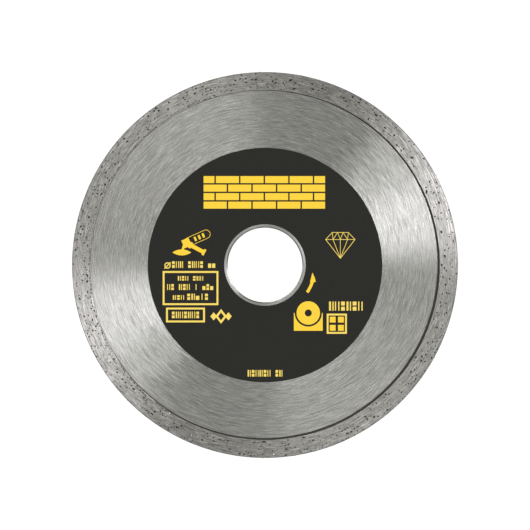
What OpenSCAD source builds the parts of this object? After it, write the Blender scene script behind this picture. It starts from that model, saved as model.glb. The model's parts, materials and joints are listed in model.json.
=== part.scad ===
// Continuous-rim diamond blade for an angle grinder, for cutting tile dry.
// The blade stands upright: its spin axis lies along Y, its printed front faces -Y and +Z is up.
// Every sub-part is drawn flat, with the front towards +Z, and face_front() stands it up.

/* [Blade] */
// Outside diameter of the blade
blade_d = 115; // [105:0.5:125]
// Diameter of the bore that the grinder's spindle boss fills
bore_d = 22.23; // [20:0.01:22.5]

/* [Diamond rim] */
// Radial height of the rim
rim_h = 5.4; // [5:0.1:6.5]
// Thickness of the rim, which is the width of the cut
rim_t = 1.6; // [1.5:0.05:2.4]
// Chamfer on the rim's outer corners
rim_outer_chamfer = 0.22; // [0.05:0.01:0.3]
// Chamfer on the rim's inner corners
rim_inner_chamfer = 0.08; // [0.02:0.01:0.15]

/* [Steel core] */
// Thickness of the ground steel face
core_t = 1.2; // [1:0.05:1.4]
// Thickness of the thinner tongue that the rim is pressed on to
tongue_t = 0.6; // [0.4:0.05:0.7]
// How far the tongue reaches into the rim
tongue_reach = 3.4; // [2.8:0.1:3.8]
// Width of the rolled edge around the bore
bore_edge_w = 0.34; // [0.1:0.01:0.5]
// Depth of the rolled edge around the bore
bore_edge_h = 0.2; // [0.05:0.01:0.3]
// How far the face grinding ran off centre, which leaves the crescent seam
seam_offset = 0.45; // [0.3:0.05:0.6]
// Mean width of the seam between the ground face and the rim
seam_w = 0.3; // [0.2:0.01:0.45]
// Direction of the widest part of the seam, anticlockwise from the right
seam_angle = 330; // [0:5:355]
// Number of holes in the tongue that key the rim to the steel
anchor_count = 24; // [12:1:36]
// Diameter of each of those holes
anchor_d = 1.6; // [1:0.1:2]

/* [Diamond grit] */
// Edge length of one exposed diamond crystal
crystal = 0.32; // [0.25:0.01:0.34]
// Depth of a crystal's centre under the rim's surface
crystal_sink = 0.14; // [0.12:0.01:0.16]
// Crystals in each of the three rings on one face of the rim
face_crystals = 24; // [12:1:30]
// Crystals around the rim's outer edge
edge_crystals = 40; // [20:1:60]

/* [Printed label] */
// Inside diameter of the black ground, leaving bare steel around the bore
label_in_d = 24.3; // [23.5:0.1:25]
// Outside diameter of the black ground
label_out_d = 69.9; // [69.5:0.1:76]
// Thickness of the ink
ink_t = 0.04; // [0.03:0.01:0.08]
// Width of an ordinary printed line
line_w = 0.55; // [0.4:0.05:0.7]
// Width of the finest printed line
fine_w = 0.16; // [0.14:0.02:0.3]

/* [Hidden] */
$fn = 180;
rim_in_r = blade_d / 2 - rim_h;
tongue_r = rim_in_r + tongue_reach;
anchor_r = rim_in_r + 0.55 * tongue_reach;
ground_r = rim_in_r - seam_w;
through = 4 * rim_t;
rim_top = rim_t / 2;
core_top = core_t / 2;

// Stands a flat drawing upright, so that its +Z side becomes the front, -Y.
module face_front() {
    rotate([90, 0, 0]) children();
}

// ---- Steel core ----

module anchor_holes() {
    for (i = [0 : anchor_count - 1])
        rotate([0, 0, (i + 0.5) * 360 / anchor_count])
            translate([anchor_r, 0, 0])
                cylinder(d = anchor_d, h = through, center = true);
}

module tongue() {
    difference() {
        cylinder(r = tongue_r, h = tongue_t, center = true);
        anchor_holes();
    }
}

// The ground face: a disc a little off centre, trimmed where it meets the rim.
module ground_face() {
    linear_extrude(core_t, center = true)
        intersection() {
            circle(r = rim_in_r);
            rotate([0, 0, seam_angle])
                translate([-seam_offset, 0])
                    circle(r = ground_r);
        }
}

// The bore with its rolled edge on both sides.
module bore_cut() {
    bore_r = bore_d / 2;
    flat_h = core_top - bore_edge_h;
    rotate_extrude()
        polygon([
            [0, -core_t], [bore_r + bore_edge_w, -core_t], [bore_r + bore_edge_w, -core_top],
            [bore_r, -flat_h], [bore_r, flat_h],
            [bore_r + bore_edge_w, core_top], [bore_r + bore_edge_w, core_t], [0, core_t]
        ]);
}

module steel_core() {
    color("silver") face_front()
        difference() {
            union() {
                ground_face();
                tongue();
            }
            bore_cut();
        }
}

// ---- Diamond rim and its grit ----

module rim_ring() {
    outer_r = blade_d / 2;
    rotate_extrude()
        polygon([
            [rim_in_r, rim_inner_chamfer - rim_top],
            [rim_in_r + rim_inner_chamfer, -rim_top],
            [outer_r - rim_outer_chamfer, -rim_top],
            [outer_r, rim_outer_chamfer - rim_top],
            [outer_r, rim_top - rim_outer_chamfer],
            [outer_r - rim_outer_chamfer, rim_top],
            [rim_in_r + rim_inner_chamfer, rim_top],
            [rim_in_r, rim_top - rim_inner_chamfer]
        ]);
}

// One crystal, turned its own way.
module one_crystal(turn) {
    rotate([turn, 2 * turn, 3 * turn]) cube(crystal, center = true);
}

// Three rings of crystals on one face. The seed gives each face its own scatter.
module face_grit(side, seed) {
    count = 3 * face_crystals;
    step = 360 / face_crystals;
    drift = rands(-0.3, 0.3, 3 * count, seed);
    for (i = [0 : count - 1])
        rotate([0, 0, (floor(i / 3) + (i % 3) / 3 + drift[i]) * step])
            translate([
                rim_in_r + rim_h * (0.24 + 0.27 * (i % 3)) + drift[i + count],
                0,
                side * (rim_top - crystal_sink)
            ])
                one_crystal(300 * drift[i + 2 * count]);
}

module edge_grit() {
    step = 360 / edge_crystals;
    drift = rands(-0.25, 0.25, 3 * edge_crystals, 31);
    for (i = [0 : edge_crystals - 1])
        rotate([0, 0, (i + drift[i]) * step])
            translate([blade_d / 2 - crystal_sink, 0, drift[i + edge_crystals]])
                one_crystal(300 * drift[i + 2 * edge_crystals]);
}

module diamond_rim() {
    color("dimgray") face_front()
        difference() {
            rim_ring();
            tongue();
            face_grit(1, 11);
            face_grit(-1, 23);
            edge_grit();
        }
}

module grit_front() {
    color("gold") face_front() face_grit(1, 11);
}

module grit_rear() {
    color("gold") face_front() face_grit(-1, 23);
}

module grit_edge() {
    color("gold") face_front() edge_grit();
}

// ---- Flat shapes that the label is printed with ----

// A bar of width w from point a to point b.
module bar(a, b, w) {
    run = b - a;
    translate(a)
        rotate([0, 0, atan2(run.y, run.x)])
            translate([0, -w / 2])
                square([norm(run), w]);
}

// An outlined box with its lower left corner at the given point.
module frame_box(corner, size, w) {
    translate(corner)
        difference() {
            square(size);
            translate([w, w]) square(size - [2 * w, 2 * w]);
        }
}

// One plain mark, h tall: 1 a pair of strokes, 2 a stroke, 3 two stacked blocks, 4 a thick and a thin
// stroke, 5 a low block.
module mark(shape, w, h) {
    stroke = 0.27 * w;
    if (shape == 1)
        for (x = [0, w - stroke])
            translate([x, 0]) square([stroke, h]);
    if (shape == 2)
        translate([(w - stroke) / 2, 0]) square([stroke, h]);
    if (shape == 3)
        for (y = [0, 0.57 * h])
            translate([0.08 * w, y]) square([0.84 * w, 0.43 * h]);
    if (shape == 4) {
        square([1.6 * stroke, h]);
        translate([w - stroke, 0]) square([stroke, h]);
    }
    if (shape == 5)
        square([w, 0.66 * h]);
}

// A line of plain marks, standing where a line of words would be. A 0 in shapes leaves a gap.
module tally(corner, size, shapes) {
    pitch = size.x / len(shapes);
    mark_w = 0.78 * pitch;
    for (i = [0 : len(shapes) - 1])
        translate(corner + [i * pitch + (pitch - mark_w) / 2, 0])
            mark(shapes[i], mark_w, size.y);
}

// ---- A wall of bricks above the bore ----
wall_corner = [-18.3, 16.8];
wall_size = [36.2, 9.7];
brick_courses = 4;
bricks_per_course = 5;
brick_joint = 0.45;

// Bricks laid in running bond; every second course starts and ends with a half brick.
module brick_wall_2d() {
    course = (wall_size.y + brick_joint) / brick_courses;
    pitch = (wall_size.x + brick_joint) / bricks_per_course;
    for (row = [0 : brick_courses - 1], i = [0 : bricks_per_course]) {
        start = max(0, (i - (row % 2) / 2) * pitch);
        stop = min(wall_size.x, (i + 1 - (row % 2) / 2) * pitch - brick_joint);
        if (stop - start > brick_joint)
            translate(wall_corner + [start, row * course])
                square([stop - start, course - brick_joint]);
    }
}

// ---- The plain grinder drawing at the left ----
grinder_tilt = 24;
grinder_centre = [-20.4, 7.6];

// A bar with round ends, lying along X, with its left end at the origin.
module round_bar(length, d) {
    circle(d = d);
    translate([length, 0]) circle(d = d);
    translate([0, -d / 2]) square([length, d]);
}

// A disc seen almost edge on.
module flat_lens(width, height) {
    r = (width * width / 4 + height * height / 4) / height;
    intersection() {
        translate([0, r - height / 2]) circle(r = r);
        translate([0, height / 2 - r]) circle(r = r);
    }
}

module grinder_2d() {
    // Motor housing with its vents, and the gear head at its end
    translate(grinder_centre) rotate([0, 0, grinder_tilt]) {
        translate([-2.4, 0.3]) difference() {
            round_bar(5.6, 2.7);
            round_bar(5.6, 2.7 - 2 * fine_w);
        }
        for (x = [-0.6, 0.7, 2])
            translate([x, -0.35]) square([0.65, 1.3]);
        translate([-4.3, -0.95]) square([2.3, 2.5]);
    }
    // Spindle and disc
    bar([-24, 6.3], [-24.6, 4.4], 0.7);
    translate([-24.8, 3.75]) flat_lens(5.6, 1.8);
    // Side handle with its flange and end cap
    bar([-22.2, 5.9], [-18.2, 3.8], 1.2);
    bar([-21.75, 6.75], [-22.65, 5.05], 0.8);
    bar([-17.75, 4.65], [-18.65, 2.95], 0.7);
}

// ---- Size line ----
size_corner = [-30, -0.85];
size_h = 1.95;

module diameter_sign_2d() {
    translate(size_corner + [0.95, 0.7]) {
        difference() {
            circle(d = 1.9);
            circle(d = 1.25);
        }
        bar([-0.95, -0.95], [0.95, 0.95], 0.3);
    }
}

module size_marks_2d() {
    tally(size_corner + [2.1, 0], [13.2, size_h], [3, 1, 4, 0, 3, 4, 1, 3, 0, 5, 5]);
}

// ---- Speed box ----
speed_corner = [-30.5, -11.95];
speed_size = [16.6, 10.15];

module speed_frame_2d() {
    frame_box(speed_corner, speed_size, line_w);
}

module speed_marks_2d() {
    tally(speed_corner + [4.4, 7.3], [7.8, 1.35], [4, 3, 1, 0, 3, 4, 1]);
    tally(speed_corner + [1.2, 4.5], [14, 1.75], [1, 3, 0, 4, 3, 1, 0, 2, 0, 5, 3, 5]);
    tally(speed_corner + [2.9, 1.6], [3.6, 1.35], [4, 3, 1]);
    tally(speed_corner + [7.1, 1.55], [6.6, 1.85], [3, 4, 5, 2, 3]);
}

// ---- Standard box ----
standard_corner = [-29.5, -17.1];
standard_size = [11.6, 4.4];

module standard_frame_2d() {
    frame_box(standard_corner, standard_size, line_w);
}

module standard_marks_2d() {
    tally(standard_corner + [1.55, 1.25], [8.5, 1.95], [3, 4, 1, 3, 4, 1, 3]);
}

// ---- Three small plain gems in a row ----
module one_lozenge(centre, size) {
    translate(centre)
        polygon([
            [-size.x / 2, 0], [0, -size.y / 2], [size.x / 2, 0], [0, size.y / 2]
        ]);
}

module three_gems_2d() {
    one_lozenge([-15.3, -15.3], [2, 2.4]);
    one_lozenge([-10.9, -15.3], [2, 2.4]);
    difference() {
        one_lozenge([-13.1, -15.3], [3.4, 4.4]);
        one_lozenge([-13.1, -15.3], [1.8, 2.4]);
    }
}

// ---- Line drawing of a cut gem ----
gem_centre = 22.45;
gem_table_y = 9.7;
gem_girdle_y = 7.6;
gem_point_y = 2.0;
gem_half_w = 4.35;
gem_table_half_w = 2.4;

// A triangle's outline pulled in on all three sides, by shrinking it about its inscribed circle's centre.
module inset_facet(a, b, c, inset) {
    sides = [norm(c - b), norm(a - c), norm(b - a)];
    round_trip = sides[0] + sides[1] + sides[2];
    centre = (sides[0] * a + sides[1] * b + sides[2] * c) / round_trip;
    inscribed_r = abs(cross(b - a, c - a)) / round_trip;
    keep = 1 - inset / inscribed_r;
    polygon([for (corner = [a, b, c]) centre + keep * (corner - centre)]);
}

module gem_2d() {
    // The girdle is split into four equal facets, and the table into three.
    girdle = [for (i = [-2 : 2]) [gem_centre + i * gem_half_w / 2, gem_girdle_y]];
    table = [for (i = [-1.5 : 1.5]) [gem_centre + i * gem_table_half_w / 1.5, gem_table_y]];
    point = [gem_centre, gem_point_y];
    margin = fine_w / 2;
    difference() {
        polygon([
            girdle[0] - [1.7 * margin, 0], point - [0, 1.7 * margin], girdle[4] + [1.7 * margin, 0],
            table[3] + [0.6 * margin, margin], table[0] + [-0.6 * margin, margin]
        ]);
        for (i = [0 : 3]) {
            inset_facet(girdle[i], girdle[i + 1], table[i], margin);
            inset_facet(girdle[i], girdle[i + 1], point, margin);
        }
        for (i = [0 : 2])
            inset_facet(table[i], table[i + 1], girdle[i + 1], margin);
    }
}

// ---- Rotation arrow around the bore ----
arrow_r = 15;
arrow_w = 0.9;
arrow_tail_angle = -33;
arrow_head_angle = -19.5;

function on_circle(r, angle) = [r * cos(angle), r * sin(angle)];

module rotation_arrow_2d() {
    intersection() {
        difference() {
            circle(r = arrow_r + arrow_w / 2);
            circle(r = arrow_r - arrow_w / 2);
        }
        polygon([
            [0, 0],
            on_circle(2 * arrow_r, arrow_tail_angle),
            on_circle(2 * arrow_r, arrow_head_angle)
        ]);
    }
    // The head is a leaf that leans in towards the bore.
    polygon([
        on_circle(arrow_r - 0.65, arrow_head_angle - 1.5),
        on_circle(arrow_r + 0.95, arrow_head_angle + 1),
        on_circle(arrow_r + 0.35, arrow_head_angle + 5),
        on_circle(arrow_r - 0.7, arrow_head_angle + 10.5)
    ]);
}

// ---- A blade cutting a square tile ----
cut_centre = [12.9, -14.3];
cut_blade_r = 3.5;
cut_gap = 0.55;
cut_tile_size = [8.6, 5.3];

module blade_on_tile_2d() {
    difference() {
        translate(cut_centre - [cut_tile_size.x / 2, cut_tile_size.y]) square(cut_tile_size);
        translate(cut_centre) circle(r = cut_blade_r + cut_gap);
    }
    translate(cut_centre)
        difference() {
            circle(r = cut_blade_r);
            circle(r = 0.3 * cut_blade_r);
        }
}

// ---- Marks at the right of the blade and tile ----
module model_marks_2d() {
    tally([18.9, -13.6], [10.4, 2.7], [4, 1, 3, 4, 3, 1]);
}

// ---- Four tiles in a frame, beside the marks ----
tiles_corner = [18.4, -20.5];
tiles_size = 6;

module tile_frame_2d() {
    frame_box(tiles_corner, [tiles_size, tiles_size], line_w);
}

// Two by two tiles, evenly spaced inside the frame.
module four_tiles_2d() {
    one_tile = 0.29 * tiles_size;
    first = (tiles_size / 2 - one_tile) * 0.72;
    for (x = [first, tiles_size - first - one_tile], y = [first, tiles_size - first - one_tile])
        translate(tiles_corner + [x, y]) square(one_tile);
}

// ---- Batch marks at the foot of the label ----
module batch_marks_2d() {
    tally([-5.3, -33.25], [10.6, 1.95], [4, 3, 1, 4, 3, 1, 0, 3, 4]);
}

// ---- The label's layers ----

// One coat of ink on the steel's front face.
module ink(paint) {
    color(paint) face_front()
        translate([0, 0, core_top])
            linear_extrude(ink_t) children();
}

// The black ground leaves every printed shape open, and the yellow ink fills those openings.
module label_ground() {
    ink("#30302d")
        difference() {
            circle(d = label_out_d);
            circle(d = label_in_d);
            brick_wall_2d();
            grinder_2d();
            diameter_sign_2d();
            size_marks_2d();
            speed_frame_2d();
            speed_marks_2d();
            standard_frame_2d();
            standard_marks_2d();
            three_gems_2d();
            gem_2d();
            rotation_arrow_2d();
            blade_on_tile_2d();
            model_marks_2d();
            tile_frame_2d();
            four_tiles_2d();
            batch_marks_2d();
        }
}

module print_brick_wall() { ink("#fcd439") brick_wall_2d(); }
module print_grinder() { ink("#fcd439") grinder_2d(); }
module print_diameter_sign() { ink("#fcd439") diameter_sign_2d(); }
module print_size_marks() { ink("#fcd439") size_marks_2d(); }
module print_speed_frame() { ink("#fcd439") speed_frame_2d(); }
module print_speed_marks() { ink("#fcd439") speed_marks_2d(); }
module print_standard_frame() { ink("#fcd439") standard_frame_2d(); }
module print_standard_marks() { ink("#fcd439") standard_marks_2d(); }
module print_three_gems() { ink("#fcd439") three_gems_2d(); }
module print_gem() { ink("#fcd439") gem_2d(); }
module print_rotation_arrow() { ink("#fcd439") rotation_arrow_2d(); }
module print_blade_on_tile() { ink("#fcd439") blade_on_tile_2d(); }
module print_model_marks() { ink("#fcd439") model_marks_2d(); }
module print_tile_frame() { ink("#fcd439") tile_frame_2d(); }
module print_four_tiles() { ink("#fcd439") four_tiles_2d(); }
module print_batch_marks() { ink("#fcd439") batch_marks_2d(); }

steel_core();
diamond_rim();
grit_front();
grit_rear();
grit_edge();
label_ground();
print_brick_wall();
print_grinder();
print_diameter_sign();
print_size_marks();
print_speed_frame();
print_speed_marks();
print_standard_frame();
print_standard_marks();
print_three_gems();
print_gem();
print_rotation_arrow();
print_blade_on_tile();
print_model_marks();
print_tile_frame();
print_four_tiles();
print_batch_marks();
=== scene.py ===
"""Looks of a continuous-rim diamond blade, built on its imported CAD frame.

The blade spins about Y, its printed front faces -Y and +Z is up. Everything is in metres.
"""

import json
import math
import random
from collections import namedtuple

import bmesh
import bpy
from mathutils import Euler, Matrix, Vector
from mathutils.geometry import delaunay_2d_cdt


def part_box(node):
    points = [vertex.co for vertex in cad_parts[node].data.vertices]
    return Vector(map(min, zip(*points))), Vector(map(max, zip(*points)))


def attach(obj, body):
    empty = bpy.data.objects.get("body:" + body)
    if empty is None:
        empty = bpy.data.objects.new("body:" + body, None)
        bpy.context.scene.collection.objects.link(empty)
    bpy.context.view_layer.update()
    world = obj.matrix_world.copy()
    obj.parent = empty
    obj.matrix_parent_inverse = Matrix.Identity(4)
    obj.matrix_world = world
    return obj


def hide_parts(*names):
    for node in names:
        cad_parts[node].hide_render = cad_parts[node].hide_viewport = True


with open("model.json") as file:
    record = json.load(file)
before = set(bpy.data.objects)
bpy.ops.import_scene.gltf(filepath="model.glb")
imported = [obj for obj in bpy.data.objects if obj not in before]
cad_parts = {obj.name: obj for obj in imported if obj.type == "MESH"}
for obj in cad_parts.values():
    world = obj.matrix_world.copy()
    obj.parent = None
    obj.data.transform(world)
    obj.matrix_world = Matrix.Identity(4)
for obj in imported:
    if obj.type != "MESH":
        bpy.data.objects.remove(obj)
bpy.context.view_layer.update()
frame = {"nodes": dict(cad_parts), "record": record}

MM = 0.001
TAU = 2 * math.pi

# ---- Sizes read from the frame ----
RIM_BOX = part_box("diamond_rim")
CORE_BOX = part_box("steel_core")
LABEL_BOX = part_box("label_ground")
MOUNTS = {m["name"]: m for m in frame["record"]["mounts"]}

BLADE_R = RIM_BOX[1].z
RIM_TOP = RIM_BOX[1].y
CORE_TOP = CORE_BOX[1].y
TONGUE_R = CORE_BOX[1].z
LABEL_R = LABEL_BOX[1].z
BORE_R = MOUNTS["bore"]["dims"]["r_mm"] * MM
BORE_WALL_TOP = MOUNTS["bore"]["dims"]["length_mm"] * MM / 2

# ---- Sizes that the frame doesn't state, the same as in part.scad ----
RIM_H = 5.4 * MM
RIM_IN_R = BLADE_R - RIM_H
TONGUE_TOP = 0.3 * MM
BORE_EDGE_W = 0.34 * MM
LABEL_IN_R = 12.15 * MM
SEAM_OFFSET = 0.45 * MM
SEAM_W = 0.3 * MM
SEAM_ANGLE = math.radians(330)

# ---- Rounded corners of the rim, finer than the CAD's chamfers ----
OUTER_ROUND = 0.16 * MM
INNER_ROUND = 0.03 * MM

# ---- Fineness of the meshes, and the angles in degrees from which an edge is shaded sharp ----
SEGMENTS = 720
WELD = 1e-7
CORE_SHARP = 32
RIM_SHARP = 8


# ---- Mesh helpers ----

def new_piece(name, mesh, *materials):
    """A mesh object that rides on the blade, with its materials in slot order."""
    piece = bpy.data.objects.new(name, mesh)
    bpy.context.scene.collection.objects.link(piece)
    for material in materials:
        mesh.materials.append(material)
    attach(piece, "root")
    return piece


def around(index):
    """The angle of one of the evenly spaced segments."""
    return TAU * index / SEGMENTS


def on_disc(r, angle, y):
    """A point at radius r and an angle anticlockwise from the right, as the front is seen."""
    return Vector((r * math.cos(angle), y, r * math.sin(angle)))


def add_band(bm, rings, material=0):
    """Joins each ring of vertices to the next with quads."""
    for ring, following in zip(rings, rings[1:]):
        for i in range(len(ring)):
            j = (i + 1) % len(ring)
            face = bm.faces.new((ring[i], ring[j], following[j], following[i]))
            face.material_index = material


def add_rings(bm, profile):
    """One ring of vertices for each point of profile, which gives (r, y) pairs at an angle."""
    columns = [[bm.verts.new(on_disc(r, around(i), y)) for r, y in profile(around(i))]
               for i in range(SEGMENTS)]
    return list(zip(*columns))


def finish_mesh(bm, name, sharp_degrees):
    """Welds the seams, turns every face outwards and makes the mesh.

    Shading is smooth, except where two faces meet at more than sharp_degrees.
    """
    bmesh.ops.remove_doubles(bm, verts=bm.verts, dist=WELD)
    bmesh.ops.recalc_face_normals(bm, faces=bm.faces)
    mesh = bpy.data.meshes.new(name)
    bm.to_mesh(mesh)
    bm.free()
    mesh.shade_smooth()
    mesh.set_sharp_from_angle(angle=math.radians(sharp_degrees))
    return mesh


# ---- Node helpers ----

def new_material(name):
    """A material with an empty node tree."""
    material = bpy.data.materials.new(name)
    material.use_nodes = True
    material.node_tree.nodes.clear()
    return material


def add_node(tree, kind, inputs=None, **settings):
    """A node with its settings. An input is a number, a colour or another node's socket."""
    node = tree.nodes.new(kind)
    for key, value in settings.items():
        setattr(node, key, value)
    for key, value in (inputs or {}).items():
        if isinstance(value, bpy.types.NodeSocket):
            tree.links.new(value, node.inputs[key])
        else:
            node.inputs[key].default_value = value
    return node


def maths(tree, operation, a, b):
    """The result of a Math node."""
    return add_node(tree, "ShaderNodeMath", {0: a, 1: b}, operation=operation).outputs[0]


def vector_maths(tree, operation, a, b=None):
    """The result of a Vector Math node. For SCALE, b is the number."""
    second = 3 if operation == "SCALE" else 1
    inputs = {0: a} if b is None else {0: a, second: b}
    node = add_node(tree, "ShaderNodeVectorMath", inputs, operation=operation)
    return node.outputs["Value" if operation == "LENGTH" else "Vector"]


def remap(tree, value, low, high, to_low=0.0, to_high=1.0, smooth=False):
    """value from the range low..high brought to to_low..to_high, and clamped."""
    kind = "SMOOTHSTEP" if smooth else "LINEAR"
    return add_node(tree, "ShaderNodeMapRange", {
        "Value": value, "From Min": low, "From Max": high, "To Min": to_low, "To Max": to_high,
    }, interpolation_type=kind).outputs["Result"]


def mix_colour(tree, factor, a, b):
    """Colour a where factor is 0 and b where it is 1."""
    node = add_node(tree, "ShaderNodeMix", data_type="RGBA")
    for key, value in ((0, factor), (6, a), (7, b)):
        if isinstance(value, bpy.types.NodeSocket):
            tree.links.new(value, node.inputs[key])
        else:
            node.inputs[key].default_value = value
    return node.outputs[2]


def grey(value, warmth=0.0):
    """A grey of this linear brightness, a little yellow if warmth is above 0."""
    return (value * (1 + warmth), value * (1 + 0.4 * warmth), value * (1 - 1.6 * warmth), 1)


def bond_grey(value):
    """The bond's slightly brown grey of this linear brightness."""
    return (1.031 * value, value, 0.95 * value, 1)


def polar(tree, centre=(0, 0)):
    """(radius, unit vector away from the centre) of the shaded point. centre is (x, z)."""
    place = add_node(tree, "ShaderNodeTexCoord").outputs["Object"]
    flat = vector_maths(tree, "MULTIPLY", place, (1, 0, 1))
    away = vector_maths(tree, "SUBTRACT", flat, (centre[0], 0, centre[1]))
    return vector_maths(tree, "LENGTH", away), vector_maths(tree, "NORMALIZE", away)


def streaks(tree, along, across, detail=2.0, shift=0.0, centre=(0, 0)):
    """Noise drawn out around a centre: along is cells per radian, across is cells per metre.

    shift moves to another part of the noise, so that two layers don't match.
    """
    radius, outward = polar(tree, centre)
    height = maths(tree, "ADD", maths(tree, "MULTIPLY", radius, across), shift)
    lift = add_node(tree, "ShaderNodeCombineXYZ", {"Y": height}).outputs[0]
    spot = vector_maths(tree, "ADD", vector_maths(tree, "SCALE", outward, along), lift)
    return add_node(tree, "ShaderNodeTexNoise", {
        "Vector": spot, "Scale": 1.0, "Detail": detail, "Roughness": 0.55,
    }).outputs["Fac"]


def grains(tree, scale, detail=2.0):
    """Plain noise with this many cells per metre."""
    place = add_node(tree, "ShaderNodeTexCoord").outputs["Object"]
    return add_node(tree, "ShaderNodeTexNoise", {
        "Vector": place, "Scale": scale, "Detail": detail, "Roughness": 0.6,
    }).outputs["Fac"]


def bump(tree, height, distance, strength, normal=None):
    """The normal of a surface whose height map stands for this distance, in metres."""
    inputs = {"Height": height, "Distance": distance, "Strength": strength}
    if normal is not None:
        inputs["Normal"] = normal
    return add_node(tree, "ShaderNodeBump", inputs).outputs["Normal"]


def surface(tree, inputs):
    """A Principled surface wired to the material's output."""
    shader = add_node(tree, "ShaderNodeBsdfPrincipled", inputs)
    out = add_node(tree, "ShaderNodeOutputMaterial")
    tree.links.new(shader.outputs["BSDF"], out.inputs["Surface"])


def ring_tangent(tree, wander, amount):
    """Tangents along the grinding lines: around the spin axis, each line leaning a little by wander."""
    ring = add_node(tree, "ShaderNodeTangent", direction_type="RADIAL", axis="Y").outputs["Tangent"]
    lean = maths(tree, "MULTIPLY", maths(tree, "SUBTRACT", wander, 0.5), amount)
    _, outward = polar(tree)
    return vector_maths(tree, "ADD", ring, vector_maths(tree, "SCALE", outward, lean))


# ---- Materials ----

# Turns the stretch of the highlights across the grinding lines.
RING_ROTATION = 0.25

# Direction from the axis of the sector near the rim's outer edge that gets painted glints and painted
# shade, as bright and dark dashes where the highlight falls.
HIGHLIGHT_SECTOR_ANGLE = math.radians(17)
HIGHLIGHT_SECTOR_WAY = (math.cos(HIGHLIGHT_SECTOR_ANGLE), 0, math.sin(HIGHLIGHT_SECTOR_ANGLE))

# How yellow the steel's greys are.
STEEL_WARMTH = 0.022


def ground_steel():
    """Steel ground in fine rings, with the crossing arcs that an offset wheel leaves."""
    material = new_material("ground_steel")
    tree = material.node_tree
    rings = streaks(tree, along=8, across=4700, detail=2)
    arcs = streaks(tree, along=9, across=4500, detail=2, shift=40, centre=(-1.8 * MM, 5.5 * MM))
    crossing = streaks(tree, along=9, across=4500, detail=2, shift=90, centre=(1.4 * MM, -4.2 * MM))
    strokes = streaks(tree, along=14, across=4800, detail=1, shift=150, centre=(-0.9 * MM, 2.7 * MM))
    tone = maths(tree, "MULTIPLY", maths(tree, "ADD", rings, maths(tree, "ADD", arcs, crossing)), 1 / 3)
    dull, bright, glint, scored = (grey(value, STEEL_WARMTH) for value in (0.33, 0.68, 0.92, 0.20))
    colour = mix_colour(tree, remap(tree, tone, 0.38, 0.62), dull, bright)
    colour = mix_colour(tree, remap(tree, strokes, 0.60, 0.68, 0.0, 0.45), colour, glint)
    colour = mix_colour(tree, remap(tree, strokes, 0.40, 0.32, 0.0, 0.45), colour, scored)
    surface(tree, {
        "Base Color": colour,
        "Metallic": 1.0,
        "Roughness": remap(tree, crossing, 0.3, 0.7, 0.31, 0.25),
        "Anisotropic": 1.0,
        "Anisotropic Rotation": RING_ROTATION,
        "Tangent": ring_tangent(tree, arcs, 0.32),
        "Normal": bump(tree, tone, 0.004 * MM, 0.3),
    })
    return material


def bore_steel():
    """The turned ring around the bore: a bright flat, and a rolled edge and bore wall in a darker grey,
    painted shade where the edge slopes into the hole.
    """
    material = new_material("bore_steel")
    tree = material.node_tree
    turned = streaks(tree, along=4, across=5200, detail=2)
    radius, _ = polar(tree)
    flat_start, blur = BORE_R + BORE_EDGE_W, 0.05 * MM
    flat = remap(tree, radius, flat_start - blur, flat_start + blur)
    tone = remap(tree, turned, 0.35, 0.65)
    # Painted shade: the rolled edge and the bore wall get a darker grey than the flat.
    rolled_edge_shade = mix_colour(tree, tone, grey(0.15, 0.02), grey(0.28, 0.02))
    flat_colour = mix_colour(tree, tone, grey(0.42, 0.02), grey(0.68, 0.02))
    surface(tree, {
        "Base Color": mix_colour(tree, flat, rolled_edge_shade, flat_colour),
        "Metallic": 1.0,
        "Roughness": remap(tree, turned, 0.3, 0.7, 0.36, 0.28),
        "Anisotropic": 0.8,
        "Anisotropic Rotation": RING_ROTATION,
        "Tangent": ring_tangent(tree, turned, 0.2),
        "Normal": bump(tree, turned, 0.004 * MM, 0.3),
    })
    return material


def seam_oxide():
    """Dark scale that the grinding didn't reach."""
    material = new_material("seam_oxide")
    tree = material.node_tree
    patches = streaks(tree, along=30, across=4000, detail=3)
    surface(tree, {
        "Base Color": mix_colour(tree, patches, grey(0.022, 0.05), grey(0.055, 0.05)),
        "Roughness": remap(tree, patches, 0.3, 0.7, 0.6, 0.8),
        "Specular IOR Level": 0.2,
        "Normal": bump(tree, patches, 0.02 * MM, 0.6),
    })
    return material


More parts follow.
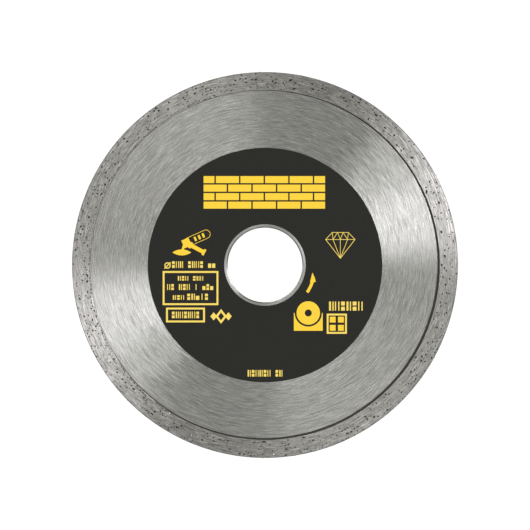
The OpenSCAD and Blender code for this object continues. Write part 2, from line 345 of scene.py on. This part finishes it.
def ground_bond():
    """The sintered rim where the dressing wheel has ground it flat."""
    material = new_material("ground_bond")
    tree = material.node_tree
    rings = streaks(tree, along=16, across=4400, detail=3)
    arcs = streaks(tree, along=18, across=4000, detail=2, shift=60, centre=(-1.6 * MM, 4.8 * MM))
    scratches_and_glints = remap(tree, streaks(tree, along=14, across=4200, detail=1, shift=120), 0.64, 0.70)
    dents = remap(tree, streaks(tree, along=60, across=4200, detail=2, shift=200), 0.60, 0.68)
    specks_and_shade = remap(tree, grains(tree, 4200, 3), 0.64, 0.69)
    clouds = grains(tree, 900, 3)

    # A sector near the outer edge, where the highlight falls, gets painted glints (bright dashes) and
    # painted shade (dark dashes).
    radius, outward = polar(tree)
    near_edge = remap(tree, radius, BLADE_R - 2.6 * MM, BLADE_R - 1.4 * MM, smooth=True)
    towards = add_node(tree, "ShaderNodeVectorMath", {0: outward, 1: HIGHLIGHT_SECTOR_WAY}, operation="DOT_PRODUCT")
    in_sector = remap(tree, towards.outputs["Value"], 0.93, 0.98, smooth=True)
    highlight_sector = maths(tree, "MULTIPLY", in_sector, near_edge)
    dashes = streaks(tree, along=12, across=4600, detail=1, shift=160)
    # Painted glints here, and painted shade on the next line.
    bright = maths(tree, "MULTIPLY", highlight_sector, remap(tree, dashes, 0.58, 0.63))
    painted_sector_shade = maths(tree, "MULTIPLY", highlight_sector, remap(tree, dashes, 0.42, 0.37))
    scratches_and_glints = maths(tree, "MAXIMUM", scratches_and_glints, bright)
    specks_and_shade = maths(tree, "MAXIMUM", specks_and_shade, painted_sector_shade)

    # The scratch mix below also carries the painted glints, and the speck mix also carries the painted
    # shade.
    tone = maths(tree, "ADD", maths(tree, "MULTIPLY", rings, 0.5), maths(tree, "MULTIPLY", arcs, 0.5))
    colour = mix_colour(tree, remap(tree, tone, 0.38, 0.62), bond_grey(0.273), bond_grey(0.652))
    colour = mix_colour(tree, remap(tree, clouds, 0.45, 0.65, 0.0, 0.3), colour, bond_grey(0.22))
    colour = mix_colour(tree, maths(tree, "MULTIPLY", scratches_and_glints, 0.8), colour, bond_grey(0.9))
    colour = mix_colour(tree, maths(tree, "MULTIPLY", dents, 0.35), colour, bond_grey(0.12))
    colour = mix_colour(tree, maths(tree, "MULTIPLY", specks_and_shade, 0.6), colour, bond_grey(0.08))
    surface(tree, {
        "Base Color": colour,
        "Metallic": 1.0,
        "Roughness": remap(tree, specks_and_shade, 0.0, 1.0, 0.34, 0.55),
        "Anisotropic": 0.9,
        "Anisotropic Rotation": RING_ROTATION,
        "Tangent": ring_tangent(tree, arcs, 0.6),
        "Normal": bump(tree, specks_and_shade, -0.01 * MM, 0.4, bump(tree, tone, 0.005 * MM, 0.3)),
    })
    return material


def dressed_edge_shade():
    """The cutting edge and rounded outer corners, left open and rough by the dressing stone, in a dark
    grey: partly the open bond's own colour, partly painted shade along the rim's outline.
    """
    material = new_material("dressed_edge_shade")
    tree = material.node_tree
    lines = streaks(tree, along=40, across=2500, detail=3)
    pores = grains(tree, 4200, 4)
    tone = maths(tree, "ADD", maths(tree, "MULTIPLY", lines, 0.4), maths(tree, "MULTIPLY", pores, 0.6))
    colour = mix_colour(tree, remap(tree, tone, 0.38, 0.62), grey(0.035, 0.03), grey(0.15, 0.03))
    surface(tree, {
        "Base Color": colour,
        "Metallic": 0.6,
        "Roughness": remap(tree, pores, 0.3, 0.7, 0.65, 0.45),
        "Normal": bump(tree, pores, 0.03 * MM, 0.6),
    })
    return material


def pit_shade_bond():
    """The porous inside of the bond, in pits and around the diamonds, painted nearly black: painted shade
    in the pits and on the rim's inner wall.
    """
    material = new_material("pit_shade_bond")
    tree = material.node_tree
    pores = grains(tree, 5200, 3)
    surface(tree, {
        "Base Color": mix_colour(tree, pores, grey(0.006, 0.03), grey(0.035, 0.04)),
        "Metallic": 0.3,
        "Roughness": remap(tree, pores, 0.3, 0.7, 0.8, 0.55),
        "Normal": bump(tree, pores, 0.03 * MM, 0.7),
    })
    return material


def diamond():
    """Small clear to smoky crystals."""
    material = new_material("diamond_grit")
    tree = material.node_tree
    tint = remap(tree, grains(tree, 1400, 1), 0.35, 0.65)
    surface(tree, {
        "Base Color": mix_colour(tree, tint, grey(0.04, 0.06), grey(0.16, 0.10)),
        "Roughness": remap(tree, grains(tree, 6000, 2), 0.3, 0.7, 0.1, 0.3),
        "IOR": 2.2,
    })
    return material


def label_ink(name, colour, worn):
    """Matt screen-printed ink with its fine orange-peel texture, and dusty patches of the worn colour."""
    material = new_material(name)
    tree = material.node_tree
    peel = grains(tree, 2400, 3)
    dust = remap(tree, grains(tree, 900, 4), 0.55, 0.75)
    surface(tree, {
        "Base Color": mix_colour(tree, maths(tree, "MULTIPLY", dust, 0.35), colour, worn),
        "Roughness": remap(tree, peel, 0.3, 0.7, 0.52, 0.64),
        "Specular IOR Level": 0.25,
        "Normal": bump(tree, peel, 0.004 * MM, 0.5),
    })
    return material


GROUND_STEEL = ground_steel()
SEAM_OXIDE = seam_oxide()
BORE_STEEL = bore_steel()
GROUND_BOND = ground_bond()
DRESSED_EDGE_SHADE = dressed_edge_shade()
PIT_SHADE_BOND = pit_shade_bond()
DIAMOND = diamond()
BLACK_INK = label_ink("label_black_ink", (0.0066, 0.0065, 0.0042, 1), (0.0105, 0.0103, 0.0072, 1))
YELLOW_INK = label_ink("label_yellow_ink", (0.79, 0.525, 0.033, 1), (0.73, 0.46, 0.029, 1))
THIN_YELLOW_INK = label_ink("label_thin_yellow_ink", (0.78, 0.58, 0.107, 1), (0.72, 0.515, 0.092, 1))


# ---- Steel core ----

# The bright flat around the rolled bore edge, and the bevel at the outside of the ground face.
FLAT_W = 0.4 * MM
FACE_BEVEL = 0.04 * MM
FACE_DROP = 0.03 * MM

# Rings in the core's outline that belong to the bore, and to the seam and what lies outside it.
BORE_RINGS = 7
SEAM_RINGS = 5


def seam_edge(angle):
    """Radius of the ground face's edge, a circle a little off centre, trimmed where it meets the rim."""
    turn = angle - SEAM_ANGLE
    ground_r = RIM_IN_R - SEAM_W
    reach = math.sqrt(ground_r ** 2 - (SEAM_OFFSET * math.sin(turn)) ** 2)
    return min(RIM_IN_R, reach - SEAM_OFFSET * math.cos(turn))


def core_profile(angle):
    """The core's outline from the middle of the bore wall out to the middle of the tongue's edge.

    Outside the ground face it drops to the seam's floor, which runs on under the rim as the tongue.
    """
    roll_h = CORE_TOP - BORE_WALL_TOP
    roll = [(BORE_R + BORE_EDGE_W * (1 - math.cos(t)), BORE_WALL_TOP + roll_h * math.sin(t))
            for t in (0.0, 0.5, 1.0, math.pi / 2)]
    edge = seam_edge(angle)
    return [(BORE_R, 0.0)] + roll + [
        (BORE_R + BORE_EDGE_W + FLAT_W, CORE_TOP),
        (LABEL_IN_R + 0.15 * MM, CORE_TOP),
        (0.5 * LABEL_R, CORE_TOP),
        (LABEL_R, CORE_TOP),
        (0.5 * (LABEL_R + RIM_IN_R), CORE_TOP),
        (edge - 0.35 * MM, CORE_TOP),
        (edge - FACE_BEVEL, CORE_TOP),
        (edge, CORE_TOP - FACE_DROP),
        (edge, TONGUE_TOP),
        (max(edge, RIM_IN_R - 0.01 * MM) + 0.001 * MM, TONGUE_TOP),
        (TONGUE_R, TONGUE_TOP),
        (TONGUE_R, 0.0),
    ]


def make_core():
    """The ground disc, with its rolled bore edge and the unground seam next to the rim."""
    bm = bmesh.new()
    front = add_rings(bm, core_profile)
    back = add_rings(bm, lambda angle: [(r, -y) for r, y in core_profile(angle)])
    for rings in (front, back):
        add_band(bm, rings[:BORE_RINGS], material=2)
        add_band(bm, rings[BORE_RINGS - 1:-SEAM_RINGS + 1])
        add_band(bm, rings[-SEAM_RINGS:], material=1)
    mesh = finish_mesh(bm, "core", CORE_SHARP)
    core = new_piece("core_ground_steel", mesh, GROUND_STEEL, SEAM_OXIDE, BORE_STEEL)
    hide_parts("steel_core")


# ---- Pits and diamonds ----

def crystal_centres(node):
    """The centre of each separate crystal in a CAD grit node."""
    bm = bmesh.new()
    bm.from_mesh(frame["nodes"][node].data)
    bmesh.ops.remove_doubles(bm, verts=bm.verts, dist=1e-6)
    centres, seen = [], set()
    for start in bm.verts:
        if start in seen:
            continue
        island, queue = [], [start]
        seen.add(start)
        while queue:
            vert = queue.pop()
            island.append(vert.co.copy())
            for edge in vert.link_edges:
                other = edge.other_vert(vert)
                if other not in seen:
                    seen.add(other)
                    queue.append(other)
        centres.append(sum(island, Vector()) / len(island))
    bm.free()
    return centres


# reach is the pit's greatest radius, and depth_share its depth as a share of the usual one.
Pit = namedtuple("Pit", "u v reach outline depth_share")

DEEPEST_PIT = 0.34 * MM
DEPTH_TO_RADIUS = 1.3

# Rings down a pit's wall: share of the outline's size, share of the depth.
PIT_RINGS = ((0.86, 0.55), (0.5, 1.0))
FLOOR_DEPTH = 1.08


class Patch:
    """A flat drawing of part of the rim's surface, to be triangulated around its pits.

    place(u, v, depth) gives the point in space that lies depth under the drawing's (u, v).
    loops are the drawing's own outlines, and inside says which points belong to it.
    """

    def __init__(self, place, loops, inside, material=0):
        self.place, self.loops, self.inside, self.material = place, loops, inside, material
        self.pits = []

    def free(self, u, v, reach, gap):
        """True if a new pit here stays this gap away from every other."""
        return all(math.hypot(u - p.u, v - p.v) > reach + p.reach + gap for p in self.pits)

    def add_pit(self, rng, u, v, r, stretch, lean):
        """Adds an uneven pit of about radius r, drawn out by stretch in the direction lean."""
        count = rng.choice((7, 8, 9))
        cos_lean, sin_lean = math.cos(lean), math.sin(lean)
        outline = []
        for k in range(count):
            t = TAU * (k + rng.uniform(-0.25, 0.25)) / count
            size = r * rng.uniform(0.55, 1.2)
            a, b = size * stretch * math.cos(t), size * math.sin(t)
            outline.append((u + a * cos_lean - b * sin_lean, v + a * sin_lean + b * cos_lean))
        self.pits.append(Pit(u, v, r * stretch, outline, rng.uniform(0.65, 1.0)))

    def build(self, bm):
        """Adds the patch's faces to bm, with each pit sunk in."""
        points, edges, owner = [], [], []
        outlines = self.loops + [pit.outline for pit in self.pits]
        for number, outline in enumerate(outlines):
            first = len(points)
            points += [Vector(p) for p in outline]
            edges += [(first + k, first + (k + 1) % len(outline)) for k in range(len(outline))]
            owner += [number - len(self.loops)] * len(outline)
        verts2d, _, faces, origins, _, _ = delaunay_2d_cdt(points, edges, [], 0, 1e-9)
        belongs = [owner[o[0]] if o else None for o in origins]
        verts = [bm.verts.new(self.place(p.x, p.y, 0.0)) for p in verts2d]
        for face in faces:
            owners = {belongs[k] for k in face}
            middle = sum((verts2d[k] for k in face), Vector((0, 0))) / 3
            pit = owners.pop() if len(owners) == 1 else None
            if pit is not None and pit >= 0:
                continue
            if self.inside(middle):
                bm.faces.new([verts[k] for k in face]).material_index = self.material
        where = {o: k for k, found in enumerate(origins) for o in found}
        first = sum(len(loop) for loop in self.loops)
        for pit in self.pits:
            count = len(pit.outline)
            self.sink(bm, [verts[where[first + k]] for k in range(count)], pit)
            first += count

    def sink(self, bm, top, pit):
        """Walls and a floor under one pit's outline, whose vertices are top."""
        u, v, outline = pit.u, pit.v, pit.outline
        size = sum(math.hypot(a - u, b - v) for a, b in outline) / len(outline)
        depth = min(DEEPEST_PIT, DEPTH_TO_RADIUS * size) * pit.depth_share
        rings = [top]
        for share, down in PIT_RINGS:
            rings.append([bm.verts.new(self.place(u + share * (a - u), v + share * (b - v), down * depth))
                          for a, b in outline])
        # Walls and floor take slot 1, the bond painted nearly black as painted shade.
        add_band(bm, rings, material=1)
        middle = bm.verts.new(self.place(u, v, FLOOR_DEPTH * depth))
        floor = rings[-1]
        for k in range(len(floor)):
            bm.faces.new((floor[k], floor[(k + 1) % len(floor)], middle)).material_index = 1


def circle_outline(r):
    """A circle of this radius in a patch's drawing."""
    return [(r * math.cos(around(i)), r * math.sin(around(i))) for i in range(SEGMENTS)]


# The rim's flat faces, and half the width of its flat cutting edge, inside the rounded corners.
FACE_IN_R = RIM_IN_R + INNER_ROUND
FACE_OUT_R = BLADE_R - OUTER_ROUND
EDGE_HALF = RIM_TOP - OUTER_ROUND

# A circle is drawn as chords, and this is how far in a chord's middle lies, as a share of the radius.
CHORD_MIDDLE = 0.99999

# How many of each sort are tried. One that would touch another is left out.
PIT_GROUPS = 590
PIT_CHAINS = 66
OUTER_PITS = 90
CUTTING_EDGE_PITS = 330

# Room left between two pits, and the sector where chains of pits run along the inner edge.
PIT_GAP = 0.05 * MM
CHAIN_MIDDLE = math.radians(167)
CHAIN_REACH = math.radians(68)

# The one long pit in each face.
LONG_PIT_ANGLE = math.radians(110)
LONG_PIT_R = 0.17 * MM
LONG_PIT_STRETCH = 7.0

# A CAD crystal's size, its pit in a face, and its pit in the cutting edge and that pit's furthest
# place from the middle of the edge.
CRYSTAL = 0.34 * MM
FACE_SEAT_R = 0.27 * MM
EDGE_SEAT_R = 0.25 * MM
EDGE_SEAT_OFF = 0.26 * MM

# The share of small pits with a crystal left in them.
FILLED_SHARE = 0.28


def scatter_face_pits(patch, rng, crystals):
    """Pits in loose groups all over one face, more of them along the flush side of its inner edge."""
    def try_pit(r_from_axis, angle, r, stretch, lean):
        u, v = r_from_axis * math.cos(angle), r_from_axis * math.sin(angle)
        fits = FACE_IN_R + 0.05 * MM < r_from_axis - r and r_from_axis + r < FACE_OUT_R - 0.02 * MM
        if fits and patch.free(u, v, r * stretch, PIT_GAP):
            patch.add_pit(rng, u, v, r, stretch, angle + math.pi / 2 + rng.uniform(-lean, lean))

    for centre in crystals:
        patch.add_pit(rng, centre.x, centre.z, FACE_SEAT_R, 1.15, rng.uniform(0, math.pi))
    place = (FACE_IN_R + 0.28 * MM) * Vector((math.cos(LONG_PIT_ANGLE), math.sin(LONG_PIT_ANGLE)))
    patch.add_pit(rng, place.x, place.y, LONG_PIT_R, LONG_PIT_STRETCH, LONG_PIT_ANGLE + math.pi / 2)
    for _ in range(PIT_GROUPS):
        angle = rng.uniform(0, TAU)
        r_from_axis = rng.uniform(FACE_IN_R + 0.3 * MM, FACE_OUT_R - 0.2 * MM)
        for _ in range(rng.choice((1, 1, 2, 2, 3, 4))):
            r = MM * (0.1 + 0.21 * rng.random() ** 1.4)
            near = r_from_axis + rng.gauss(0, 0.4 * MM)
            try_pit(near, angle + rng.gauss(0, 0.011), r, rng.uniform(1.0, 2.2), lean=0.6)
    for _ in range(PIT_CHAINS):
        angle = CHAIN_MIDDLE + rng.uniform(-CHAIN_REACH, CHAIN_REACH)
        depth = MM * abs(rng.gauss(0.0, 0.25))
        for _ in range(rng.choice((2, 3, 4, 6))):
            r, stretch = MM * rng.uniform(0.12, 0.22), rng.uniform(1.2, 2.6)
            try_pit(FACE_IN_R + r + 0.07 * MM + depth, angle, r, stretch, lean=0.06)
            angle += (2 * r * stretch + MM * rng.uniform(0.15, 0.4)) / RIM_IN_R
    for _ in range(OUTER_PITS):
        r = MM * rng.uniform(0.12, 0.26)
        try_pit(FACE_OUT_R - r - 0.03 * MM, rng.uniform(0, TAU), r, rng.uniform(1.0, 1.4), lean=0.2)


def scatter_edge_pits(patch, rng, crystals):
    """Pits along the cutting edge, in a drawing unrolled from -pi to pi."""
    half_turn = BLADE_R * math.pi
    for centre in crystals:
        u = BLADE_R * math.atan2(centre.z, centre.x)
        v = max(-EDGE_SEAT_OFF, min(EDGE_SEAT_OFF, centre.y))
        if abs(u) < half_turn - 0.5 * MM:
            patch.add_pit(rng, u, v, EDGE_SEAT_R, 1.1, 0.0)
    for _ in range(CUTTING_EDGE_PITS):
        u = rng.uniform(-1, 1) * (half_turn - 0.6 * MM)
        r = MM * (0.08 + 0.14 * rng.random() ** 1.5)
        v = rng.uniform(-1, 1) * (EDGE_HALF - r - 0.06 * MM)
        stretch = rng.uniform(1.0, 1.7)
        if patch.free(u, v, r * stretch, gap=0.06 * MM):
            patch.add_pit(rng, u, v, r, stretch, rng.uniform(-0.4, 0.4))


def make_rim(crystals):
    """The sintered ring: slotted over the core's tongue, with pitted faces and a pitted cutting edge."""
    bm = bmesh.new()
    patches = {}
    for side, node, seed in ((-1, "grit_front", 5), (1, "grit_rear", 6)):
        patch = Patch(
            lambda u, v, depth, side=side: Vector((u, side * (RIM_TOP - depth), v)),
            [circle_outline(FACE_IN_R), circle_outline(FACE_OUT_R)],
            lambda p: FACE_IN_R * CHORD_MIDDLE < p.length < FACE_OUT_R,
        )
        scatter_face_pits(patch, random.Random(seed), crystals[node])
        patch.build(bm)
        patches[node] = patch

    half_turn = BLADE_R * math.pi
    step = 2 * half_turn / SEGMENTS
    lower = [(-half_turn + k * step, -EDGE_HALF) for k in range(SEGMENTS + 1)]
    upper = [(u, EDGE_HALF) for u, _ in reversed(lower)]
    edge = Patch(
        lambda u, v, depth: on_disc(BLADE_R - depth, u / BLADE_R, v),
        [lower + upper],
        lambda p: True,
        material=2,
    )
    scatter_edge_pits(edge, random.Random(7), crystals["grit_edge"])
    edge.build(bm)
    patches["grit_edge"] = edge

    for side in (-1, 1):
        corner = [(FACE_OUT_R + OUTER_ROUND * math.cos(t), side * (EDGE_HALF + OUTER_ROUND * math.sin(t)))
                  for t in (math.pi / 8 * k for k in range(5))]
        # The outer corners take the dressed edge's dark grey, partly painted shade.
        add_band(bm, add_rings(bm, lambda angle: corner), material=2)
        nick = 0.3 * INNER_ROUND
        wall = [
            (FACE_IN_R, side * RIM_TOP),
            (RIM_IN_R + nick, side * (RIM_TOP - nick)),
            (RIM_IN_R, side * (RIM_TOP - INNER_ROUND)),
            (RIM_IN_R, side * TONGUE_TOP),
            (TONGUE_R, side * TONGUE_TOP),
            (TONGUE_R, 0.0),
        ]
        # The inner wall and tongue take slot 1 too, painted nearly black as painted shade.
        add_band(bm, add_rings(bm, lambda angle: wall), material=1)
    mesh = finish_mesh(bm, "rim", RIM_SHARP)
    rim = new_piece("rim_sintered_bond", mesh, GROUND_BOND, PIT_SHADE_BOND, DRESSED_EDGE_SHADE)
    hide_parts("diamond_rim")
    return patches


def add_crystal(bm, rng, centre, size):
    """A cube with its corners cut off, turned at random."""
    turn = Euler([rng.uniform(0, TAU) for _ in range(3)]).to_matrix()
    cut = rng.uniform(0.25, 0.75)
    corners = [Vector(c) for c in ((x, y, z) for x in (-1, 1) for y in (-1, 1) for z in (-1, 1))]
    points = []
    for corner in corners:
        for axis in range(3):
            point = corner.copy()
            point[axis] *= 1 - cut
            points.append(bm.verts.new(centre + turn @ (point * size / 2 * rng.uniform(0.94, 1.04))))
    hull = bmesh.ops.convex_hull(bm, input=points)
    bmesh.ops.delete(bm, geom=list(set(hull["geom_interior"] + hull["geom_unused"])), context="VERTS")


def make_grit(node, patch, crystals, seed):
    """Every CAD crystal of a node, cut like a real one, and smaller ones in some of the other pits."""
    rng = random.Random(seed)
    bm = bmesh.new()
    for centre in crystals:
        add_crystal(bm, rng, centre, CRYSTAL)
    for pit in patch.pits[len(crystals):]:
        if rng.random() < FILLED_SHARE and 0.14 * MM < pit.reach < 0.30 * MM:
            size = MM * rng.uniform(0.18, 0.28)
            add_crystal(bm, rng, patch.place(pit.u, pit.v, 0.42 * size), size)
    mesh = bpy.data.meshes.new(node)
    bm.to_mesh(mesh)
    bm.free()
    piece = new_piece("diamonds_" + node, mesh, DIAMOND)
    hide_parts(node)


# ---- Label ----

THICK_PRINTS = (
    "print_brick_wall", "print_grinder", "print_rotation_arrow",
    "print_blade_on_tile", "print_four_tiles",
)


def paint_label():
    """The CAD ink layers keep their shapes and get their inks. Large shapes hold a thicker coat."""
    for name, node in frame["nodes"].items():
        if name.startswith("print_") or name == "label_ground":
            coat = YELLOW_INK if name in THICK_PRINTS else THIN_YELLOW_INK
            node.data.materials.clear()
            node.data.materials.append(BLACK_INK if name == "label_ground" else coat)


# ---- Studio ----

# The blade's share of the picture's width, and how far away the camera stands.
FRAME_SHARE = 0.728
CAMERA_DISTANCE = 4.0
SENSOR_W = 36

FLOOR_R = 1.3
FLOOR_Z = -0.3

# How the surround lights the blade, and how bright the camera sees it.
AMBIENT = 0.33
BACKDROP = 1.05

# Every soft box's distance in metres, lean from the spin axis and angle along that lean in degrees.
LIGHT_DISTANCE = 6.0
LIGHT_LEAN = 40
LIGHT_DEPTH = 12

# The strength of the boxes behind the blade, as a share of those in front.
REAR_SHARE = 0.4

COOL_WHITE = (0.98, 0.98, 1.02)
PLAIN_WHITE = (0.995, 1.0, 0.99)
WARM_WHITE = (0.99, 1.0, 0.96)

# name, direction in the blade's plane and width (degrees), radiance, colour
SOFT_BOXES = [
    ("key", 17.5, 25.5, 26, COOL_WHITE),
    ("shoulder", 39, 16, 12, PLAIN_WHITE),
    ("broad", 124, 60, 6.2, PLAIN_WHITE),
    ("side", 169, 30, 6, PLAIN_WHITE),
]


def make_camera():
    """A long lens square to the printed front, with the blade filling most of the frame."""
    data = bpy.data.cameras.new("camera")
    camera = bpy.data.objects.new("camera", data)
    bpy.context.scene.collection.objects.link(camera)
    data.sensor_width = SENSOR_W
    data.lens = SENSOR_W * (CAMERA_DISTANCE - RIM_TOP) * FRAME_SHARE / (2 * BLADE_R)
    camera.location = (0, -CAMERA_DISTANCE, 0)
    camera.rotation_euler = (math.pi / 2, 0, 0)
    bpy.context.scene.camera = camera


def area_light(name, direction, width, radiance, colour, front):
    """A soft box aimed at the bore, in front of the blade or behind it.

    direction and width are angles in the blade's plane, in degrees.
    """
    lean, turn = math.radians(LIGHT_LEAN), math.radians(direction)
    side, share = (-1, 1) if front else (1, REAR_SHARE)
    back = on_disc(math.sin(lean), turn, side * math.cos(lean))
    across = on_disc(1, turn + math.pi / 2, 0)
    data = bpy.data.lights.new(name, "AREA")
    data.shape = "RECTANGLE"
    data.size = 2 * LIGHT_DISTANCE * math.sin(lean) * math.tan(math.radians(width) / 2)
    data.size_y = 2 * LIGHT_DISTANCE * math.tan(math.radians(LIGHT_DEPTH) / 2)
    data.energy = share * radiance * math.pi * data.size * data.size_y
    data.color = colour
    light = bpy.data.objects.new(name, data)
    light.visible_camera = False
    bpy.context.scene.collection.objects.link(light)
    light.matrix_world = matrix_from_axes(across, back.cross(across), back, back * LIGHT_DISTANCE)


def matrix_from_axes(x, y, z, origin):
    """The 4x4 matrix with these axes as columns."""
    return Matrix((
        (x.x, y.x, z.x, origin.x),
        (x.y, y.y, z.y, origin.y),
        (x.z, y.z, z.z, origin.z),
        (0, 0, 0, 1),
    ))


def make_lights():
    """A plain white surround, and the soft boxes."""
    scene = bpy.context.scene
    scene.view_settings.view_transform = "Standard"
    world = bpy.data.worlds.new("studio")
    scene.world = world
    world.use_nodes = True
    tree = world.node_tree
    tree.nodes.clear()
    path = add_node(tree, "ShaderNodeLightPath")
    seen = add_node(tree, "ShaderNodeBackground", {"Color": (1, 1, 1, 1), "Strength": BACKDROP})
    lit = add_node(tree, "ShaderNodeBackground", {"Color": (*WARM_WHITE, 1), "Strength": AMBIENT})
    both = add_node(tree, "ShaderNodeMixShader", {
        0: path.outputs["Is Camera Ray"], 1: lit.outputs[0], 2: seen.outputs[0],
    })
    out = add_node(tree, "ShaderNodeOutputWorld")
    tree.links.new(both.outputs[0], out.inputs["Surface"])

    for front in (True, False):
        for name, direction, width, radiance, colour in SOFT_BOXES:
            area_light(f"{name}_{'front' if front else 'rear'}", direction, width, radiance, colour, front)


def make_floor():
    """A pale floor well below the blade."""
    mesh = bpy.data.meshes.new("floor")
    bm = bmesh.new()
    bmesh.ops.create_circle(bm, cap_ends=True, radius=FLOOR_R, segments=96)
    bm.to_mesh(mesh)
    bm.free()
    floor = bpy.data.objects.new("floor", mesh)
    floor.location = (0, 0, FLOOR_Z)
    bpy.context.scene.collection.objects.link(floor)
    paint = new_material("pale_floor")
    tree = paint.node_tree
    surface(tree, {
        "Base Color": mix_colour(tree, grains(tree, 30, 3), grey(0.80), grey(0.84)),
        "Roughness": 0.8,
    })
    mesh.materials.append(paint)


make_core()
CRYSTALS = {name: crystal_centres(name) for name in ("grit_front", "grit_rear", "grit_edge")}
PATCHES = make_rim(CRYSTALS)
for seed, name in enumerate(CRYSTALS, 20):
    make_grit(name, PATCHES[name], CRYSTALS[name], seed)
paint_label()
make_lights()
make_floor()
make_camera()
